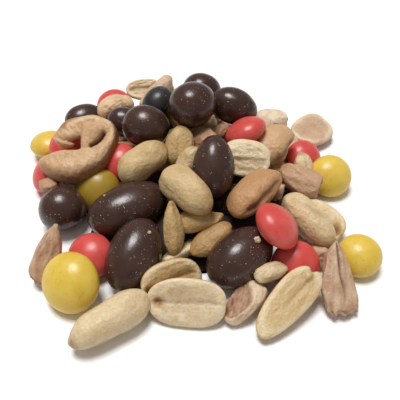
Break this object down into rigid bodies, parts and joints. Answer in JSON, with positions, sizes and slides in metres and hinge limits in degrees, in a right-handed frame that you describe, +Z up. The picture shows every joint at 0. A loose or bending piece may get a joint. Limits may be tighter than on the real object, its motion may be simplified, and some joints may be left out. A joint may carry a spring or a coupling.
{
  "type": "heap of trail mix",
  "caption": "Loose heap of snack mix with chocolate-coated pieces, red and yellow candies, peanuts and cashews, lying on a flat surface.",
  "frame": {"origin": "centre of the heap's outline, on the surface that it lies on", "axes": "+X to the right and +Y to the back as the heap is seen from its front, +Z up"},
  "size_m": [0.0966, 0.0928, 0.0272],
  "materials": {
    "roasted_peanut": "dry roasted, satin with a trace of oil",
    "toasted_cashew": "toasted, satin, browner along its edges",
    "chocolate_coating": "polished soft gloss with fine pale dust",
    "red_candy_shell": "smooth hard sugar shell, soft gloss",
    "yellow_candy_shell": "smooth hard sugar shell, soft gloss",
    "packed_middle": "dull, in shade between the pieces"
  },
  "bodies": {
    "root": {"heap": "roasted_peanut"}
  },
  "joints": []
}
